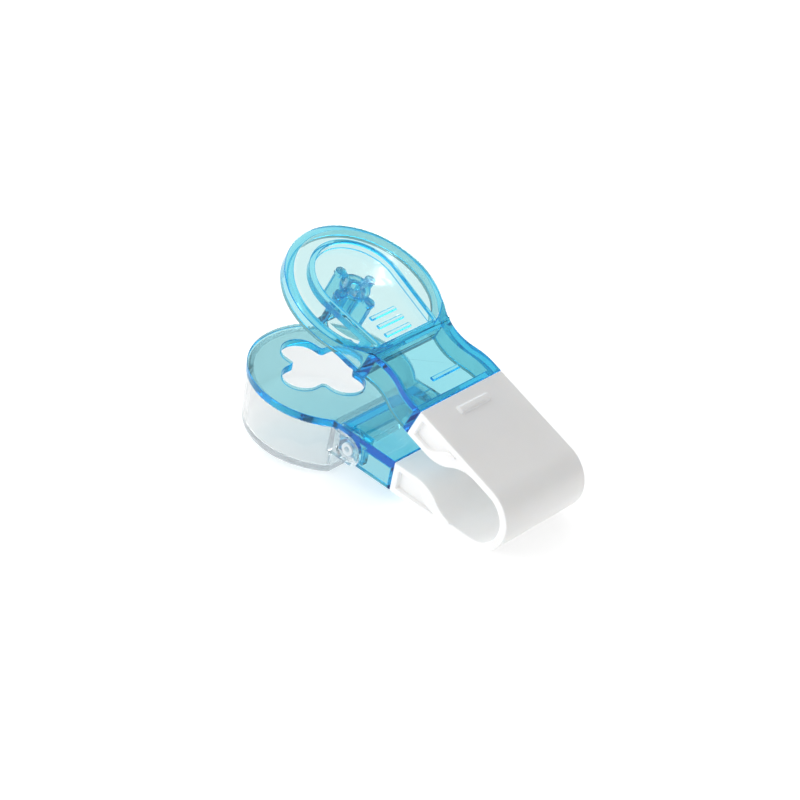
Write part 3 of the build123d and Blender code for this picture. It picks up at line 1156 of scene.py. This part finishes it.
@dataclass(frozen=True)
class Studio:
    """Pale floor, soft light and the camera."""

    floor_half: float = 3.0
    azimuth: float = 39.9
    elevation: float = 28.42
    roll: float = 2.71
    distance: float = 0.6967
    aim: tuple[float, float, float] = (-0.0013, 0.0009, 0.01906)
    lens: float = 127.97
    sensor: float = 36.0
    near: float = 0.01
    far: float = 50.0
    lit_side: tuple[float, float, float] = (-0.9, -0.4, 0.5)
    dim_world: float = 0.04
    bright_world: float = 1.55
    floor_white: float = 0.85
    floor_glow: float = 0.45
    lamps: tuple[Softbox, ...] = (
        Softbox("key", (-0.65, -0.95, 0.25), (0.7, 0.7), 2.0),
        Softbox("fill", (-0.6, 0.85, 0.15), (0.6, 0.4), 5.0),
        Softbox("glint", (0.025, 0.695, 0.774), (0.006, 0.003), 0.003),
    )

    def build(self) -> None:
        """Build the floor, the lights, the surroundings and the camera."""
        self._floor()
        self._world()
        for lamp in self.lamps:
            lamp.hang()
        self._camera()

    def _floor(self) -> None:
        """Lay the floor."""
        reach = self.floor_half
        mesh = bpy.data.meshes.new("floor")
        corners = [(-reach, -reach, 0), (reach, -reach, 0), (reach, reach, 0), (-reach, reach, 0)]
        mesh.from_pydata(corners, [], [(0, 1, 2, 3)])
        floor = bpy.data.objects.new("floor", mesh)
        bpy.context.scene.collection.objects.link(floor)
        tree = NodeTree("floor")
        white = 3 * (self.floor_white,) + OPAQUE
        paper = tree.add(
            "BsdfPrincipled",
            Base_Color=white,
            Roughness=0.9,
            Specular_IOR_Level=0.0,
            Emission_Color=white,
            Emission_Strength=self.floor_glow,
        )
        tree.link(paper.outputs[0], tree.output.inputs["Surface"])
        mesh.materials.append(tree.material)

    def _world(self) -> None:
        """Make the surroundings brighter on the lit side and overhead."""
        world = bpy.data.worlds.new("studio")
        bpy.context.scene.world = world
        world.use_nodes = True
        nodes, links = world.node_tree.nodes, world.node_tree.links
        nodes.clear()
        output = nodes.new("ShaderNodeOutputWorld")
        background = nodes.new("ShaderNodeBackground")
        place = nodes.new("ShaderNodeTexCoord")
        lit = nodes.new("ShaderNodeVectorMath")
        lit.operation = "DOT_PRODUCT"
        lit.inputs[1].default_value = Vector(self.lit_side).normalized()
        ramp = nodes.new("ShaderNodeMapRange")
        ramp.inputs["From Min"].default_value = -1.0
        ramp.inputs["From Max"].default_value = 1.0
        ramp.inputs["To Min"].default_value = self.dim_world
        ramp.inputs["To Max"].default_value = self.bright_world
        links.new(place.outputs["Generated"], lit.inputs[0])
        links.new(lit.outputs["Value"], ramp.inputs["Value"])
        links.new(ramp.outputs["Result"], background.inputs["Strength"])
        links.new(background.outputs[0], output.inputs["Surface"])

    def _camera(self) -> None:
        """Set up the camera."""
        turn, rise = math.radians(self.azimuth), math.radians(self.elevation)
        level, up = math.cos(rise), math.sin(rise)
        back = Vector((math.sin(turn) * level, -math.cos(turn) * level, up))
        data = bpy.data.cameras.new("camera")
        data.lens, data.sensor_width = self.lens, self.sensor
        data.clip_start, data.clip_end = self.near, self.far
        camera = bpy.data.objects.new("camera", data)
        bpy.context.scene.collection.objects.link(camera)
        camera.location = Vector(self.aim) + back * self.distance
        aimed = (-back).to_track_quat("-Z", "Y").to_matrix()
        rolled = aimed @ Matrix.Rotation(math.radians(self.roll), 3, "Z")
        camera.rotation_mode = "QUATERNION"
        camera.rotation_quaternion = rolled.to_quaternion()
        bpy.context.scene.camera = camera
        bpy.context.scene.view_settings.view_transform = "Standard"


def build_pieces(frame: dict) -> list[bpy.types.Object]:
    """Build every piece of the object.


    Returns:
        The finished pieces.
    """
    layout = ClipLayout()
    lower, upper = layout.frames(frame)
    clip_nodes = ("clip_lower_arm", "clip_bend", "clip_upper_arm")
    makers: list[Piece] = [
        SpringClip("spring_clip", "lower_half", clip_nodes, WHITE, lower, layout),
        LowerJaw("lower_jaw_shell", "lower_half", ("lower_jaw",), BLUE, lower, layout),
        UpperJaw("upper_jaw_shell", "upper_half", ("upper_jaw",), BLUE, upper, layout),
        Pusher("pusher_cross", "upper_half", ("pusher",), DEEP_BLUE, upper, layout),
        PillBox("pill_box_cup", "box", ("pill_box",), CLEAR, lower, layout),
    ]
    for hand, side in (("left", -1), ("right", 1)):
        nodes = (f"pivot_pin_{hand}",)
        makers.append(PivotPin(f"pin_{hand}", "lower_half", nodes, MILKY, lower, layout, side=side))
    return [maker.make() for maker in makers]


def main() -> None:
    """Build the object and the studio."""
    logging.basicConfig(level=logging.INFO, format="%(name)s: %(message)s")
    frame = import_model()
    build_pieces(frame)
    Studio().build()


if __name__ == "__main__":
    main()
